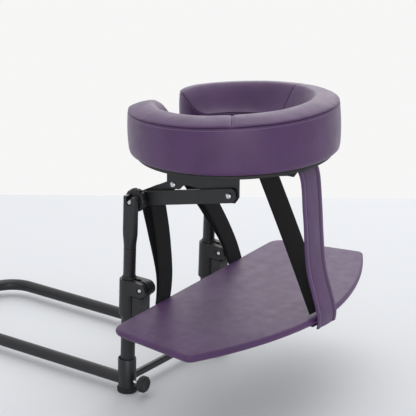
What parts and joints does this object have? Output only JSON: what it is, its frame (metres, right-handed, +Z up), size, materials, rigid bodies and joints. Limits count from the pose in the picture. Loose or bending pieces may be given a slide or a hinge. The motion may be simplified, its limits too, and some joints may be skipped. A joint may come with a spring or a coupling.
{
  "type": "mattress-top massage kit with face cradle",
  "caption": "U-shaped floor frame with two telescopic uprights carrying a tilting crescent face cushion and a padded arm shelf hung on straps.",
  "frame": {"origin": "on the floor, midway between the two uprights", "axes": "+Z up; +Y from the uprights towards the closed end of the floor frame (the bed side); +X across, so the cushion and the shelf overhang towards -Y"},
  "size_m": [0.4945, 0.7345, 0.4878],
  "materials": {
    "black_tube": "satin black powder coat on steel",
    "black_plastic": "moulded, fine grain",
    "rubber": "matt black",
    "zinc": "bright zinc plated",
    "vinyl": "purple upholstery vinyl, fine leather grain, soft sheen",
    "padded_vinyl": null,
    "webbing": "black woven nylon",
    "board": "black painted plywood",
    "foam": "upholstery foam"
  },
  "bodies": {
    "base": {"floor_frame": "black_tube", "cross_tube": "black_tube", "socket_left": "black_tube", "socket_right": "black_tube", "foot_cap_left": "rubber", "foot_cap_right": "rubber", "rear_foot_left": "rubber", "rear_foot_right": "rubber"},
    "base_knob_left": {"base_knob_left": "black_plastic", "base_screw_left": "zinc"},
    "base_knob_right": {"base_knob_right": "black_plastic", "base_screw_right": "zinc"},
    "posts": {"lower_tube_left": "black_tube", "clamp_body_left": "black_plastic", "clamp_pin_left": "zinc", "collar_left": "black_plastic", "lower_tube_right": "black_tube", "clamp_body_right": "black_plastic", "clamp_pin_right": "zinc", "collar_right": "black_plastic"},
    "clamp_lever_left": {"clamp_lever_left": "black_plastic"},
    "clamp_lever_right": {"clamp_lever_right": "black_plastic"},
    "risers": {"upper_tube_left": "black_tube", "fork_left": "black_tube", "upper_tube_right": "black_tube", "fork_right": "black_tube"},
    "axle": {"tilt_axle": "zinc", "axle_spacer": "black_tube", "rear_strap_left": "webbing", "rear_strap_right": "webbing"},
    "tilt_hub_left": {"tilt_hub_left": "black_plastic"},
    "tilt_hub_right": {"tilt_hub_right": "black_plastic"},
    "cradle": {"long_link_left": "black_tube", "short_link_left": "black_tube", "bracket_left": "black_tube", "front_bolt_left": "zinc", "rear_bolt_left": "zinc", "long_link_right": "black_tube", "short_link_right": "black_tube", "bracket_right": "black_tube", "front_bolt_right": "zinc", "rear_bolt_right": "zinc", "platform": "board", "grip_ring": "webbing"},
    "cushion": {"cushion_base": "webbing", "cushion_foam": "foam", "cushion_cover": "vinyl"},
    "shelf": {"shelf_board": "board", "shelf_pad": "padded_vinyl", "strap_wrap": "vinyl"},
    "front_strap": {"front_strap": "vinyl"},
    "strap_lining": {"front_strap_lining": "webbing"}
  },
  "joints": [
    {"name": "base_knob_left_turn", "type": "hinge", "parent": "base", "child": "base_knob_left", "pos_m": [-0.103, 0, 0.019], "axis": [0, -1, 0], "range_deg": [0, 720]},
    {"name": "base_knob_right_turn", "type": "hinge", "parent": "base", "child": "base_knob_right", "pos_m": [0.103, 0, 0.019], "axis": [0, -1, 0], "range_deg": [0, 720]},
    {"name": "posts_lift", "type": "slide", "parent": "base", "child": "posts", "axis": [0, -0.0302, 0.9995], "range_m": [0, 0.05]},
    {"name": "clamp_lever_left_swing", "type": "hinge", "parent": "posts", "child": "clamp_lever_left", "pos_m": [-0.103, -0.03336, 0.17707], "axis": [-1, 0, 0], "range_deg": [0, 20]},
    {"name": "clamp_lever_right_swing", "type": "hinge", "parent": "posts", "child": "clamp_lever_right", "pos_m": [0.103, -0.03336, 0.17707], "axis": [-1, 0, 0], "range_deg": [0, 20]},
    {"name": "height", "type": "slide", "parent": "posts", "child": "risers", "axis": [0, -0.0302, 0.9995], "range_m": [-0.01, 0.06]},
    {"name": "axle_lift", "type": "slide", "parent": "risers", "child": "axle", "axis": [0, -0.0302, 0.9995], "range_m": [0, 0.022]},
    {"name": "cradle_tilt", "type": "hinge", "parent": "axle", "child": "cradle", "pos_m": [0, -0.00878, 0.31087], "axis": [-1, 0, 0], "range_deg": [-8, 20], "deforming": ["rear_strap_left", "rear_strap_right", "front_strap", "front_strap_lining"]},
    {"name": "tilt_hub_left_turn", "type": "hinge", "parent": "axle", "child": "tilt_hub_left", "pos_m": [-0.09, -0.00878, 0.31087], "axis": [1, 0, 0], "range_deg": [0, 360]},
    {"name": "tilt_hub_right_turn", "type": "hinge", "parent": "axle", "child": "tilt_hub_right", "pos_m": [0.09, -0.00878, 0.31087], "axis": [1, 0, 0], "range_deg": [0, 360]},
    {"name": "cushion_lift", "type": "slide", "parent": "cradle", "child": "cushion", "axis": [0, 0.0419, 0.9991], "range_m": [0, 0.06]},
    {"name": "shelf_tilt", "type": "hinge", "parent": "axle", "child": "shelf", "pos_m": [0, -0.055, 0.167], "axis": [-1, 0, 0], "range_deg": [-9.1, 22.6]},
    {"name": "front_strap_swing", "type": "hinge", "parent": "cradle", "child": "front_strap", "pos_m": [0, -0.262, 0.381], "axis": [-1, 0, 0], "range_deg": [-13.8, 5.6]},
    {"name": "strap_lining_swing", "type": "hinge", "parent": "cradle", "child": "strap_lining", "pos_m": [0, -0.173, 0.388], "axis": [-1, 0, 0], "range_deg": [-12.1, 4.9]}
  ],
  "couplings": [
    {"joint": "shelf_tilt", "follows": "cradle_tilt", "ratio": 1.12},
    {"joint": "front_strap_swing", "follows": "cradle_tilt", "ratio": -0.685},
    {"joint": "strap_lining_swing", "follows": "cradle_tilt", "ratio": -0.6}
  ]
}
